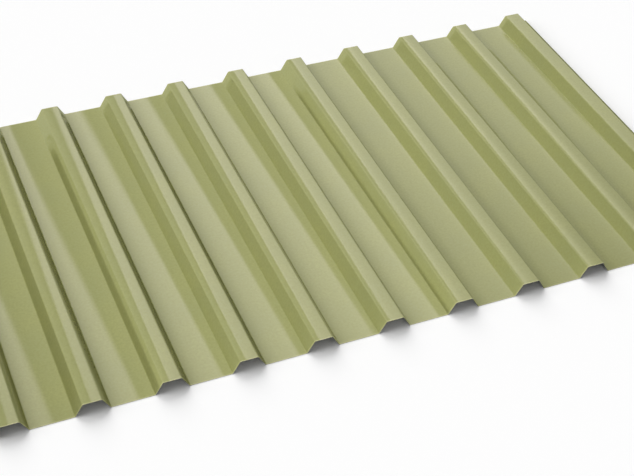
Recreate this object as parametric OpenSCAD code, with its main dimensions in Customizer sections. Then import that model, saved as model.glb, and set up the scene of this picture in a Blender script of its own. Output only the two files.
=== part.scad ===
// Trapezoidal corrugated sheet, roll-formed from one strip of coated steel.
// The ribs run along Y and the section lies in the XZ plane. The undersides of the
// valleys lie on Z = 0, and the origin is at the middle of the sheet on that plane.

/* [Sheet] */
// Length of the sheet along its ribs
sheet_length = 600; // [300:10:6000]
// Thickness of the coated steel
thickness = 0.5; // [0.4:0.05:1]

/* [Profile] */
// Number of ribs across the sheet
rib_count = 11; // [2:1:15]
// Distance from one rib to the next
pitch = 100; // [70:1:160]
// Overall height, from under a valley to the top of a rib
profile_height = 18; // [10:0.5:35]
// Width of a rib's top, between its fold lines
rib_top = 24; // [14:1:40]
// Width of a rib at its foot, between its fold lines
rib_foot = 44; // [30:1:60]
// Inside radius of every fold
fold_radius = 2; // [1:0.25:4]
// Width of the lip beyond the last fold line at each side
edge_lip = 8; // [4:0.5:20]

/* [Hidden] */
// Flat strips that make up the curve of one fold
fold_steps = 6;

// The fold lines are set out on the middle surface of the steel.
valley_z = thickness / 2;
rib_z = profile_height - thickness / 2;
web_angle = atan2(rib_z - valley_z, (rib_foot - rib_top) / 2);
mid_radius = fold_radius + thickness / 2;
first_rib_x = -(rib_count - 1) * pitch / 2;
side_x = -first_rib_x + rib_foot / 2 + edge_lip;

function direction(angle) = [cos(angle), sin(angle)];

function reversed(list) = [for (i = [len(list) - 1 : -1 : 0]) list[i]];

// The four folds of the rib at x: where each lies, the heading before it and its turn.
function rib_folds(x) = [
    [[x - rib_foot / 2, valley_z], 0, web_angle],
    [[x - rib_top / 2, rib_z], web_angle, -web_angle],
    [[x + rib_top / 2, rib_z], 0, -web_angle],
    [[x + rib_foot / 2, valley_z], -web_angle, web_angle]
];

// The curve of one fold on the surface that lies above the middle one by rise.
function fold_curve(fold, rise) =
    let (heading = fold[1],
         turn = fold[2],
         side = sign(turn),
         to_centre = heading + turn / 2 + 90 * side,
         centre = fold[0] + mid_radius / cos(turn / 2) * direction(to_centre),
         radius = mid_radius - side * rise)
    [for (i = [0 : fold_steps])
        centre + radius * direction(heading + turn * i / fold_steps - 90 * side)];

// One whole surface of the section, from the left lip to the right one.
function surface_line(rise) = concat(
    [[-side_x, valley_z + rise]],
    [for (rib = [0 : rib_count - 1])
        for (fold = rib_folds(first_rib_x + rib * pitch))
            each fold_curve(fold, rise)],
    [[side_x, valley_z + rise]]
);

module section() {
    polygon(concat(surface_line(-thickness / 2), reversed(surface_line(thickness / 2))));
}

module sheet() {
    color([0.66, 0.67, 0.48])
        rotate([90, 0, 0])
            linear_extrude(height = sheet_length, center = true)
                section();
}

sheet();
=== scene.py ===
"""A trapezoidal corrugated sheet of colour-coated steel, lying on a pale floor under studio light."""
import math

import bpy
import numpy as np
from mathutils import Matrix, Vector


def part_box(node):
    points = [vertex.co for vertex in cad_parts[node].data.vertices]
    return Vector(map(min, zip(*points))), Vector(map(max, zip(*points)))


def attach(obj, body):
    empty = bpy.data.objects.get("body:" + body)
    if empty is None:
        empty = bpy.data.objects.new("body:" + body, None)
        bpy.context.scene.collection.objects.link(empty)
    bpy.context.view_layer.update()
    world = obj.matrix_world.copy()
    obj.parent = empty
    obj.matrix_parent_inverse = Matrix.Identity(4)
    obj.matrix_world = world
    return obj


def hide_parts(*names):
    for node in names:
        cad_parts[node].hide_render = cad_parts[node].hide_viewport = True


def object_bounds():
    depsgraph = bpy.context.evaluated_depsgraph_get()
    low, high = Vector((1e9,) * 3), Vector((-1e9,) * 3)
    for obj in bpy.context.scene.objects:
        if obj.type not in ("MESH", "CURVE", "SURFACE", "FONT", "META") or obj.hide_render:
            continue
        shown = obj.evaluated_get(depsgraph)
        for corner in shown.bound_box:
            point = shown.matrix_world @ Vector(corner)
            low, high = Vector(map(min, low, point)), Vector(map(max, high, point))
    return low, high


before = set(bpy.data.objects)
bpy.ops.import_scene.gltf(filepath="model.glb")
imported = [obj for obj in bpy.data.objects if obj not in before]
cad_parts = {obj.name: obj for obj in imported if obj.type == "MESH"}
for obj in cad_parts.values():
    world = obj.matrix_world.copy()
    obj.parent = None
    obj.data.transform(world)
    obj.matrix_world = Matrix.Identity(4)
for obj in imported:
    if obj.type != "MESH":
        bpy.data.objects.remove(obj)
cad_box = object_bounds()

# Sizes of the sheet, in metres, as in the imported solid
PITCH = 0.100
RIB_COUNT = 11
RIB_TOP = 0.024
RIB_FOOT = 0.044
THICKNESS = 0.0005
FOLD_RADIUS = 0.002

# The shears roll the coated edge over a little, and the paint there is worn to a paler band, which is also a
# painted highlight along the sheared ends
SHEAR_DROP = 0.00012
SHEAR_RUN = 0.0004
WEAR_AND_HIGHLIGHT_WIDTH = 0.0010
WEAR_AND_HIGHLIGHT_RAGGEDNESS = 0.0008

# The rolled flats stray from straight. Their shading turns by degrees, up to the right: each row holds a
# share of the flat's width, the turn there, which each flat's bow multiplies, and the share of its lean.
VALLEY_TURNS = (
    (0.0, -14.0, 2.0),
    (0.3, -4.0, 1.0),
    (0.6, 0.5, 1.0),
    (0.88, 7.0, 1.0),
    (1.0, 9.5, 0.4),
)
VALLEY_BOWS = (1.0, 1.0, 1.0, 1.0, 1.0, 1.35, 0.5, 0.5, 0.55, 0.6)
VALLEY_LEANS = (1.0, 1.0, -0.3, 0.8, 1.8, 4.5, -5.0, -7.0, -7.0, -6.6)
CREST_TURNS = (
    (0.0, 14.5, -0.5),
    (0.44, 0.0, 1.0),
    (0.62, -2.4, 1.0),
    (1.0, -6.0, 1.0),
)
CREST_BOWS = (1.0, 1.0, 1.0, 1.0, 1.0, 1.0, 1.0, 1.1, 1.15, 1.15, 0.1)
CREST_LEANS = (0.0, 0.0, 0.0, 0.0, 1.5, 1.5, 0.0, 0.0, -3.0, -3.5, -3.0)
RIGHT_LIP_TURN = 60.0

# Turns of each left web at its foot and its top, and the share of its width where the bend between begins
LEFT_WEB_FOOT_TURNS = (34.0, 34.0, 38.0, 21.0, 21.0, 21.0, 40.0, 7.0, 11.0, 11.0, 16.0)
LEFT_WEB_TOP_TURNS = (29.0, 29.0, -4.0, 21.0, 21.0, 21.0, -1.0, 5.0, 11.0, 11.0, 16.0)
LEFT_WEB_BENDS = (0.5, 0.5, 0.48, 0.5, 0.5, 0.5, 0.04, 0.5, 0.5, 0.5, 0.5)
LEFT_WEB_BEND_WIDTH = 0.35
# The shading of the fold at a left web's foot turns sharply at first: this is the power of its share
CREASE = 0.4

# Turns of each right web, and the shares of them at its top and at its foot
RIGHT_WEB_TURNS = (-24.0, -24.0, -24.0, -23.0, -2.0, 8.0, 0.0, 0.0, 0.0, 0.0, -25.0)
RIGHT_WEB_TOP_SHARE = 0.3
RIGHT_WEB_FOOT_SHARE = 1.2

# The webs turn otherwise at the far end: that turn holds for half of a length and gives way over the rest
LEFT_WEB_END_TURN = -10.0
LEFT_WEB_END_LENGTHS = (0.08, 0.08, 0.11, 0.025, 0.025, 0.025, 0.085, 0.02, 0.012, 0.012, 0.012)
RIGHT_WEB_END_TURN = 25.0
RIGHT_WEB_END_LENGTH = 0.03

# From CORNER_START to its near end the sheet's shading turns down and leans, by degrees at places across it
CORNER_TURNS = ((-0.5, 10.0), (-0.3, 0.0), (0.05, 0.0), (0.35, 8.5))
CORNER_LEANS = ((-0.42, 3.0), (-0.3, -1.0), (-0.2, 0.0))
CORNER_START = 0.03

# Fineness of the mesh, which has closer rows along its far end
FOLD_STEPS = 6
VALLEY_STEPS = 16
LIP_STEPS = 2
CREST_STEPS = 8
WEB_STEPS = 8
LENGTH_STEPS = 28
FAR_END = 0.11
FAR_STEPS = 18

# Slots of the mesh's materials
TOP_SLOT = 0
UNDER_SLOT = 1
EDGE_SLOT = 2

# Colours of the materials as they show on a screen, from 0 to 255
PAINT = (159, 161, 105)
PAINT_CLOUDS = (155, 158, 107)
PAINT_STIPPLE = (151, 153, 100)
# The primer colour of the sheared ends is worn paint and also a painted highlight along them
PRIMER_AND_EDGE_HIGHLIGHT = (198, 198, 148)
BACKING = (189, 189, 179)
BACKING_CLOUDS = (180, 181, 173)
BACKING_STREAKS = (166, 168, 163)
# The sheared steel colours are darkened and tinted olive with painted shade of the edge
STEEL_AND_SHADE = (132, 131, 106)
STEEL_MARKS_AND_SHADE = (104, 103, 84)

# Their surface: roughness from the low to the high values of a noise, and bump as strength and distance
PAINT_ROUGHNESS = (0.08, 0.11)
PAINT_SPECULAR = 0.2
PAINT_BUMP = (0.04, 0.0002)
BACKING_ROUGHNESS = (0.38, 0.55)
BACKING_BUMP = (0.06, 0.0002)
STEEL_ROUGHNESS = (0.4, 0.6)
STEEL_METALLIC = 0.2
STEEL_BUMP = (0.2, 0.0001)

# Their noises: features to a metre, for streaks and marks along each axis, and the ranges that are used
PAINT_CLOUD_SCALE = 14.0
STIPPLE_SCALE = 300.0
CHIP_SCALE = 500.0
PAINT_GRAIN_SCALE = 700.0
PAINT_STREAK_SCALES = (90.0, 3.0, 90.0)
BACKING_CLOUD_SCALE = 9.0
BACKING_GRAIN_SCALE = 450.0
BACKING_STREAK_SCALES = (160.0, 4.0, 160.0)
BLADE_MARK_SCALES = (2500.0, 2500.0, 250.0)
SOFT_DETAIL = 2.0
FINE_DETAIL = 3.0
NARROW_RANGE = (0.35, 0.65)
BROAD_RANGE = (0.3, 0.7)
STREAK_RANGE = (0.5, 0.75)
STREAK_COVER = (0.0, 0.6)

# The camera, in the sheet's frame
IMAGE_WIDTH = 634
SENSOR_WIDTH = 36.0
FOCAL_LENGTH_PX = 1356.9
CAMERA_PLACE = (-0.6135, -1.3906, 1.2403)
CAMERA_YAW = 24.50
CAMERA_PITCH = 41.16
CAMERA_ROLL = 2.82

# Light: each source's share of what falls on a level surface, the way to it and its width in degrees
AMBIENT_SHARE = 0.30
KEY_SHARE = 0.36
KEY_DIRECTION = (0.0, 1.4, 1.0)
KEY_WIDTH = 50.0
FILL_SHARE = 0.34
FILL_DIRECTION = (-1.19, 0.3, 1.0)
FILL_WIDTH = 50.0

# What the paint mirrors: white walls, and a ceiling that dims towards a bright panel on the right. The panel
# begins at the plane with the normal PANEL_EDGE and fades along PANEL_ACROSS. Softness, fade, width and
# heights are lengths along a unit direction.
PANEL_EDGE = (1.0, -0.40, 0.19)
PANEL_EDGE_SOFTNESS = 0.02
PANEL_ACROSS = (1.0, -0.18, -0.066)
PANEL_BRIGHTEST = 6.0
PANEL_DIMMEST = 0.8
PANEL_FADE = 0.66
CEILING_BY_PANEL = 0.45
CEILING_FAR_OFF = 1.6
CEILING_WIDTH = 0.45
WALL_FOOT = 0.10
WALL_TOP = 0.66
WARMTH = (1.045, 0.978, 0.987)

# The floor lies just under the sheet. It is white to the eye, and dark where the paint mirrors it
FLOOR_HALF_WIDTH = 6.0
FLOOR_DROP = 0.0002
FLOOR_SEEN = 0.985
FLOOR_MIRRORED = 0.1

UNIT = (0.0, 1.0)


def srgb(red, green, blue):
    """A colour given as it shows on a screen, from 0 to 255, as linear RGBA."""
    def linear(value):
        value /= 255.0
        return value / 12.92 if value <= 0.04045 else ((value + 0.055) / 1.055) ** 2.4
    return (linear(red), linear(green), linear(blue), 1.0)


def grey(level):
    """A neutral colour of a linear level, as RGBA."""
    return (level, level, level, 1.0)


def warm(level):
    """The colour of a mirrored light at a level, as linear RGBA."""
    return tuple(level * share for share in WARMTH) + (1.0,)


class Section:
    """Stations along the middle of the steel, from the left lip to the right one.

    Each station has its place, its heading above the horizontal, the turn that its shading adds,
    the turn that it adds at the far end instead, and the length within which that one gives way.
    """

    # Stands for that length where the two turns are the same
    ANY_LENGTH = 1.0

    def __init__(self, low, high):
        self.stations = []
        self.valley_z = low[2] + THICKNESS / 2
        self.crest_z = high[2] - THICKNESS / 2
        self.web_angle = math.degrees(math.atan2(self.crest_z - self.valley_z, (RIB_FOOT - RIB_TOP) / 2))
        self.radius = FOLD_RADIUS + THICKNESS / 2
        self.cut_back = self.radius * math.tan(math.radians(self.web_angle / 2))
        self.first_rib = (low[0] + high[0]) / 2 - (RIB_COUNT - 1) * PITCH / 2
        self.start = (low[0], self.valley_z)
        for rib in range(RIB_COUNT):
            self.add_rib(rib)
        self.flat(self.start, (high[0], self.valley_z), LIP_STEPS, self.valley_turns(RIB_COUNT - 1))

    def flat(self, start, end, steps, turns, end_turn=None, length=ANY_LENGTH):
        """A level or sloping flat, with its turns at shares of its width."""
        heading = math.degrees(math.atan2(end[1] - start[1], end[0] - start[0]))
        for t in np.linspace(0, 1, steps + 1):
            x, z = (a + (b - a) * t for a, b in zip(start, end))
            turn = np.interp(t, *zip(*turns))
            self.stations.append((x, z, heading, turn, turn if end_turn is None else end_turn, length))

    def fold(self, corner, before, turn, turns, end_turns, length, crease=1.0):
        """The inside of a fold, with the turns of the flats before and after it, here and at the far end."""
        side = math.copysign(1.0, turn)
        to_centre = math.radians(before + turn / 2 + 90 * side)
        reach = self.radius / math.cos(math.radians(turn / 2))
        centre = [c + reach * f(to_centre) for c, f in zip(corner, (math.cos, math.sin))]
        for i in range(1, FOLD_STEPS):
            t = i / FOLD_STEPS
            heading = before + turn * t
            out = math.radians(heading - 90 * side)
            x, z = (c + self.radius * f(out) for c, f in zip(centre, (math.cos, math.sin)))
            sooner = turn * (t ** crease - t)
            shading, end_shading = (a + (b - a) * t + sooner for a, b in (turns, end_turns))
            self.stations.append((x, z, heading, shading, end_shading, length))

    def along(self, corner, heading):
        """The end of the fold at a corner, on its side towards a heading."""
        turn = math.radians(heading)
        return (corner[0] + self.cut_back * math.cos(turn), corner[1] + self.cut_back * math.sin(turn))

    def valley_turns(self, valley):
        """The turns over a valley, or over the lip before the first rib or beyond the last one."""
        if valley < 0:
            return ((0.0, 0.0), (1.0, 0.0))
        if valley == RIB_COUNT - 1:
            return ((0.0, RIGHT_LIP_TURN), (1.0, RIGHT_LIP_TURN))
        bow, lean = VALLEY_BOWS[valley], VALLEY_LEANS[valley]
        return [(share, turn * bow + lean * own) for share, turn, own in VALLEY_TURNS]

    def crest_turns(self, rib):
        """The turns over the crest of a rib."""
        bow, lean = CREST_BOWS[rib], CREST_LEANS[rib]
        return [(share, turn * bow + lean * own) for share, turn, own in CREST_TURNS]

    def add_rib(self, rib):
        """The flat before a rib, and the rib up to the end of its last fold."""
        x = self.first_rib + rib * PITCH
        foot_left, foot_right = ((x + s * RIB_FOOT / 2, self.valley_z) for s in (-1, 1))
        top_left, top_right = ((x + s * RIB_TOP / 2, self.crest_z) for s in (-1, 1))
        slope = self.web_angle
        before, crest = self.valley_turns(rib - 1), self.crest_turns(rib)
        valley_end, valley_start = before[-1][1], self.valley_turns(rib)[0][1]
        crest_start, crest_end = crest[0][1], crest[-1][1]
        left_foot, left_top = LEFT_WEB_FOOT_TURNS[rib], LEFT_WEB_TOP_TURNS[rib]
        left_end, left_length = LEFT_WEB_END_TURN, LEFT_WEB_END_LENGTHS[rib]
        bend = LEFT_WEB_BENDS[rib]
        right_top, right_foot = (RIGHT_WEB_TURNS[rib] * share
                                 for share in (RIGHT_WEB_TOP_SHARE, RIGHT_WEB_FOOT_SHARE))
        right_end, right_length = RIGHT_WEB_END_TURN, RIGHT_WEB_END_LENGTH

        self.flat(self.start, self.along(foot_left, 180), VALLEY_STEPS if rib else LIP_STEPS, before)
        self.fold(foot_left, 0, slope, (valley_end, left_foot), (valley_end, left_end), left_length, CREASE)
        self.flat(self.along(foot_left, slope), self.along(top_left, slope + 180), WEB_STEPS,
                  ((bend, left_foot), (bend + LEFT_WEB_BEND_WIDTH, left_top)), left_end, left_length)
        self.fold(top_left, slope, -slope, (left_top, crest_start), (left_end, crest_start), left_length)
        self.flat(self.along(top_left, 0), self.along(top_right, 180), CREST_STEPS, crest)
        self.fold(top_right, 0, -slope, (crest_end, right_top), (crest_end, right_end), right_length)
        self.flat(self.along(top_right, -slope), self.along(foot_right, 180 - slope), WEB_STEPS,
                  ((0.0, right_top), (1.0, right_foot)), right_end, right_length)
        self.fold(foot_right, -slope, slope, (right_foot, valley_start), (right_end, valley_start),
                  right_length)
        self.start = self.along(foot_right, 0)


def rows_along(low, high):
    """Places of the mesh's rows along the sheet."""
    near = np.linspace(low + SHEAR_RUN, high - FAR_END, LENGTH_STEPS, endpoint=False)
    far = np.linspace(high - FAR_END, high - SHEAR_RUN, FAR_STEPS + 1)
    return np.concatenate([[low], near, far, [high]])


def shading_normals(section, ys):
    """Normals of the coated face by column and row, with the turns that its flats, webs and corners add."""
    x, _, heading, turn, end_turn, end_length = section
    clear_of_end = np.clip(2 * (ys[-1] - ys)[None, :] / end_length[:, None] - 1, 0, 1)
    across = np.radians((heading + end_turn)[:, None] + (turn - end_turn)[:, None] * clear_of_end)
    to_near_end = np.clip((CORNER_START - ys) / (CORNER_START - ys[0]), 0, 1)
    down, lean = (np.radians(np.interp(x, *zip(*turns))[:, None] * to_near_end[None, :])
                  for turns in (CORNER_TURNS, CORNER_LEANS))
    across += lean
    return np.stack([-np.sin(across) * np.cos(down), -np.sin(down), np.cos(across) * np.cos(down)], 2)


def make_sheet(materials):
    """The sheet as one closed mesh: coated top, backing coat below and bare cut edges."""
    low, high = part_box("sheet")
    section = np.array(Section(low, high).stations).T
    x, z, heading = section[:3]
    ys = rows_along(low[1], high[1])
    columns, rows = len(x), len(ys)
    normal_x, normal_z = -np.sin(np.radians(heading)), np.cos(np.radians(heading))

    def skin(rise):
        """Points of a face that lies above the middle of the steel by a rise for each row."""
        points = np.empty((columns, rows, 3))
        points[..., 0] = x[:, None] + normal_x[:, None] * rise
        points[..., 1] = ys
        points[..., 2] = z[:, None] + normal_z[:, None] * rise
        return points.reshape(-1, 3)

    top_rise = np.full(rows, THICKNESS / 2)
    top_rise[[0, -1]] -= SHEAR_DROP
    points = np.concatenate([skin(top_rise), skin(np.full(rows, -THICKNESS / 2))])
    top = np.arange(columns * rows).reshape(columns, rows)
    under = top + columns * rows
    shade = shading_normals(section, ys)
    rolled = shade.copy()
    rolled[:, 0, 1] = -SHEAR_DROP / SHEAR_RUN
    rolled[:, -1, 1] = SHEAR_DROP / SHEAR_RUN

    faces, slots, normals = [], [], []

    def quads(corners, slot, corner_normals):
        """Adds faces in a slot, by their four corners in turn and the normals there."""
        size = corners[0].size
        faces.append(np.stack([c.ravel() for c in corners], 1))
        slots.append(np.full(size, slot))
        normals.append(np.stack([np.broadcast_to(n, corners[0].shape + (3,)).reshape(size, 3)
                                 for n in corner_normals], 1))

    def grid_corners(grid):
        """The four corners of every face of a grid, in turn."""
        return (grid[:-1, :-1], grid[1:, :-1], grid[1:, 1:], grid[:-1, 1:])

    quads(grid_corners(top), TOP_SLOT, grid_corners(rolled))
    quads(grid_corners(under)[::-1], UNDER_SLOT, grid_corners(-shade)[::-1])
    for row, way in ((0, -1.0), (rows - 1, 1.0)):
        corners = (under[:-1, row], under[1:, row], top[1:, row], top[:-1, row])
        quads(corners if way < 0 else corners[::-1], EDGE_SLOT, [np.array((0.0, way, 0.0))] * 4)
    for column, way in ((0, -1.0), (columns - 1, 1.0)):
        corners = (under[column, 1:], under[column, :-1], top[column, :-1], top[column, 1:])
        quads(corners if way < 0 else corners[::-1], EDGE_SLOT, [np.array((way, 0.0, 0.0))] * 4)

    faces = np.concatenate(faces)
    mesh = bpy.data.meshes.new("coated_sheet")
    mesh.from_pydata(points.tolist(), [], faces.tolist())
    for material in materials:
        mesh.materials.append(material)
    mesh.polygons.foreach_set("material_index", np.concatenate(slots).astype(np.int32))
    mesh.polygons.foreach_set("use_smooth", np.ones(len(faces), dtype=bool))
    mesh.update()
    corner_normals = np.concatenate(normals).reshape(-1, 3)
    corner_normals /= np.linalg.norm(corner_normals, axis=1, keepdims=True)
    mesh.normals_split_custom_set(corner_normals.tolist())
    sheet = bpy.data.objects.new("coated_sheet", mesh)
    bpy.context.collection.objects.link(sheet)
    return sheet


def add_node(tree, kind, inputs=None, **settings):
    """A new shader node: inputs take values, or sockets to be linked, by name or number."""
    node = tree.nodes.new("ShaderNode" + kind)
    for name, value in settings.items():
        setattr(node, name, value)
    for name, value in (inputs or {}).items():
        if isinstance(value, bpy.types.NodeSocket):
            tree.links.new(value, node.inputs[name])
        else:
            node.inputs[name].default_value = value
    return node


def new_material(name):
    """A material with its node tree and its Principled shader."""
    material = bpy.data.materials.new(name)
    material.use_nodes = True
    return material, material.node_tree, material.node_tree.nodes["Principled BSDF"]


def noise(tree, place, scale, detail=SOFT_DETAIL):
    """Fractal noise over a place, as a value about 0.5."""
    return add_node(tree, "TexNoise", {"Vector": place, "Scale": scale, "Detail": detail}).outputs["Fac"]


def streaked(tree, place, scales, detail=SOFT_DETAIL):
    """Fractal noise with its own scale along each axis."""
    stretched = add_node(tree, "VectorMath", {0: place, 1: scales}, operation="MULTIPLY").outputs["Vector"]
    return noise(tree, stretched, 1.0, detail)


def remap(tree, value, span, target=UNIT):
    """A value carried over from one range to another."""
    inputs = {"Value": value, "From Min": span[0], "From Max": span[1],
              "To Min": target[0], "To Max": target[1]}
    return add_node(tree, "MapRange", inputs).outputs["Result"]


def mix(tree, factor, first, second):
    """A colour between two others, by a factor."""
    inputs = {"Factor": factor, "A": first, "B": second}
    return add_node(tree, "Mix", inputs, data_type="RGBA").outputs["Result"]


def bump(tree, height, strength, distance):
    """A normal that follows a height."""
    inputs = {"Height": height, "Strength": strength, "Distance": distance}
    return add_node(tree, "Bump", inputs).outputs["Normal"]


def top_coat(sheared_end):
    """Satin olive-green paint, faintly clouded and stippled, worn to its paler primer along the sheared
    ends, a band that is also a painted highlight there.
    """
    material, tree, shader = new_material("olive_top_coat")
    place = add_node(tree, "TexCoord").outputs["Object"]
    clouds = remap(tree, noise(tree, place, PAINT_CLOUD_SCALE), NARROW_RANGE)
    cloudy = mix(tree, clouds, srgb(*PAINT), srgb(*PAINT_CLOUDS))
    stipple = remap(tree, noise(tree, place, STIPPLE_SCALE, FINE_DETAIL), BROAD_RANGE)
    paint = mix(tree, stipple, cloudy, srgb(*PAINT_STIPPLE))

    # Paler primer along both sheared ends: worn paint, and a painted highlight of the edge
    lengthwise = add_node(tree, "SeparateXYZ", {"Vector": place}).outputs["Y"]
    from_middle = add_node(tree, "Math", {0: lengthwise}, operation="ABSOLUTE").outputs["Value"]
    edge_band_inputs = {0: noise(tree, place, CHIP_SCALE), 1: WEAR_AND_HIGHLIGHT_RAGGEDNESS, 2: from_middle}
    ragged = add_node(tree, "Math", edge_band_inputs, operation="MULTIPLY_ADD").outputs["Value"]
    worn_and_highlit = remap(tree, ragged, (sheared_end - WEAR_AND_HIGHLIGHT_WIDTH, sheared_end))
    tree.links.new(mix(tree, worn_and_highlit, paint, srgb(*PRIMER_AND_EDGE_HIGHLIGHT)), shader.inputs["Base Color"])

    streaks = streaked(tree, place, PAINT_STREAK_SCALES)
    tree.links.new(remap(tree, streaks, BROAD_RANGE, PAINT_ROUGHNESS), shader.inputs["Roughness"])
    grain = noise(tree, place, PAINT_GRAIN_SCALE)
    tree.links.new(bump(tree, grain, *PAINT_BUMP), shader.inputs["Normal"])
    shader.inputs["Specular IOR Level"].default_value = PAINT_SPECULAR
    return material


def backing_coat():
    """Thin pale grey coat on the underside, with roller streaks along the sheet."""
    material, tree, shader = new_material("grey_backing_coat")
    place = add_node(tree, "TexCoord").outputs["Object"]
    clouds = remap(tree, noise(tree, place, BACKING_CLOUD_SCALE), NARROW_RANGE)
    coat = mix(tree, clouds, srgb(*BACKING), srgb(*BACKING_CLOUDS))
    streaks = streaked(tree, place, BACKING_STREAK_SCALES, FINE_DETAIL)
    thin = remap(tree, streaks, STREAK_RANGE, STREAK_COVER)
    tree.links.new(mix(tree, thin, coat, srgb(*BACKING_STREAKS)), shader.inputs["Base Color"])
    tree.links.new(remap(tree, streaks, BROAD_RANGE, BACKING_ROUGHNESS), shader.inputs["Roughness"])
    grain = noise(tree, place, BACKING_GRAIN_SCALE)
    tree.links.new(bump(tree, grain, *BACKING_BUMP), shader.inputs["Normal"])
    return material


def cut_edge():
    """Bare zinc-coated steel where the sheet was sheared, with fine marks of the blade, its colour darkened
    with painted shade of the edge.
    """
    material, tree, shader = new_material("sheared_steel_edge")
    place = add_node(tree, "TexCoord").outputs["Object"]
    marks = streaked(tree, place, BLADE_MARK_SCALES, FINE_DETAIL)
    steel_and_shade = mix(tree, remap(tree, marks, NARROW_RANGE), srgb(*STEEL_AND_SHADE), srgb(*STEEL_MARKS_AND_SHADE))
    tree.links.new(steel_and_shade, shader.inputs["Base Color"])
    tree.links.new(remap(tree, marks, BROAD_RANGE, STEEL_ROUGHNESS), shader.inputs["Roughness"])
    tree.links.new(bump(tree, marks, *STEEL_BUMP), shader.inputs["Normal"])
    shader.inputs["Metallic"].default_value = STEEL_METALLIC
    return material


def make_floor():
    """A plain white floor that shows the sheet's shadow."""
    half = FLOOR_HALF_WIDTH
    corners = [(-half, -half, 0), (half, -half, 0), (half, half, 0), (-half, half, 0)]
    mesh = bpy.data.meshes.new("floor")
    mesh.from_pydata(corners, [], [(0, 1, 2, 3)])
    material, tree, shader = new_material("white_floor")
    mirrored = add_node(tree, "LightPath").outputs["Is Glossy Ray"]
    colour = mix(tree, mirrored, grey(FLOOR_SEEN), grey(FLOOR_MIRRORED))
    tree.links.new(colour, shader.inputs["Base Color"])
    shader.inputs["Roughness"].default_value = 1.0
    shader.inputs["Specular IOR Level"].default_value = 0.0
    mesh.materials.append(material)
    floor = bpy.data.objects.new("floor", mesh)
    floor.location.z = -FLOOR_DROP
    bpy.context.collection.objects.link(floor)


def studio_colour(tree):
    """The studio that reflections show, by the direction that they look in."""
    direction = add_node(tree, "TexCoord").outputs["Generated"]

    def towards(way):
        """How far the direction goes along a way."""
        inputs = {0: direction, 1: Vector(way).normalized()}
        return add_node(tree, "VectorMath", inputs, operation="DOT_PRODUCT").outputs["Value"]

    beyond, across = towards(PANEL_EDGE), towards(PANEL_ACROSS)
    panel = remap(tree, beyond, (-PANEL_EDGE_SOFTNESS, PANEL_EDGE_SOFTNESS))
    fade = remap(tree, across, (0.0, PANEL_FADE))
    glow = mix(tree, fade, warm(PANEL_BRIGHTEST), warm(PANEL_DIMMEST))
    nearness = remap(tree, beyond, (-CEILING_WIDTH, 0.0))
    dim = mix(tree, nearness, warm(CEILING_FAR_OFF), warm(CEILING_BY_PANEL))
    ceiling = mix(tree, panel, dim, glow)
    height = add_node(tree, "SeparateXYZ", {"Vector": direction}).outputs["Z"]
    return mix(tree, remap(tree, height, (WALL_FOOT, WALL_TOP)), grey(1.0), ceiling)


def make_world():
    """White to the camera and through glass, plain for diffuse light, and a studio for reflections."""
    world = bpy.data.worlds.new("studio")
    bpy.context.scene.world = world
    world.use_nodes = True
    tree = world.node_tree
    tree.nodes.clear()
    studio = add_node(tree, "Background", {"Color": studio_colour(tree)}).outputs[0]
    ambient = add_node(tree, "Background", {"Color": grey(1.0), "Strength": AMBIENT_SHARE}).outputs[0]
    white = add_node(tree, "Background", {"Color": grey(1.0), "Strength": 1.0}).outputs[0]
    rays = add_node(tree, "LightPath").outputs
    mirrored = add_node(tree, "MixShader", {"Fac": rays["Is Glossy Ray"], 1: ambient, 2: studio}).outputs[0]
    seen = add_node(tree, "Math", {0: rays["Is Camera Ray"], 1: rays["Is Transmission Ray"]},
                    operation="MAXIMUM").outputs["Value"]
    surface = add_node(tree, "MixShader", {"Fac": seen, 1: mirrored, 2: white}).outputs[0]
    add_node(tree, "OutputWorld", {"Surface": surface})


def make_light(name, direction, share, width):
    """A broad soft source that gives a level surface its share of the light."""
    light = bpy.data.lights.new(name, "SUN")
    towards = Vector(direction).normalized()
    light.energy = math.pi * share / towards.z
    light.angle = math.radians(width)
    source = bpy.data.objects.new(name, light)
    source.rotation_mode = "QUATERNION"
    source.rotation_quaternion = towards.to_track_quat("Z", "Y")
    source.visible_glossy = False
    bpy.context.collection.objects.link(source)


def make_camera():
    """The photo's camera, as it was fitted to the corners of the ribs."""
    yaw, pitch, roll = (math.radians(a) for a in (CAMERA_YAW, CAMERA_PITCH, CAMERA_ROLL))
    forward = Vector((math.sin(yaw) * math.cos(pitch), math.cos(yaw) * math.cos(pitch), -math.sin(pitch)))
    level = Vector((math.cos(yaw), -math.sin(yaw), 0))
    upright = level.cross(forward)
    right = math.cos(roll) * level + math.sin(roll) * upright
    up = -math.sin(roll) * level + math.cos(roll) * upright
    turned = Matrix((right, up, -forward)).transposed().to_4x4()
    data = bpy.data.cameras.new("camera")
    data.sensor_fit = "HORIZONTAL"
    data.sensor_width = SENSOR_WIDTH
    data.lens = SENSOR_WIDTH * FOCAL_LENGTH_PX / IMAGE_WIDTH
    camera = bpy.data.objects.new("camera", data)
    camera.matrix_world = Matrix.Translation(CAMERA_PLACE) @ turned
    bpy.context.collection.objects.link(camera)
    bpy.context.scene.camera = camera


bpy.context.scene.view_settings.view_transform = "Standard"
make_camera()
sheet = make_sheet((top_coat(cad_box[1][1]), backing_coat(), cut_edge()))
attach(sheet, "root")
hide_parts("sheet")
make_floor()
make_world()
make_light("key", KEY_DIRECTION, KEY_SHARE, KEY_WIDTH)
make_light("fill", FILL_DIRECTION, FILL_SHARE, FILL_WIDTH)
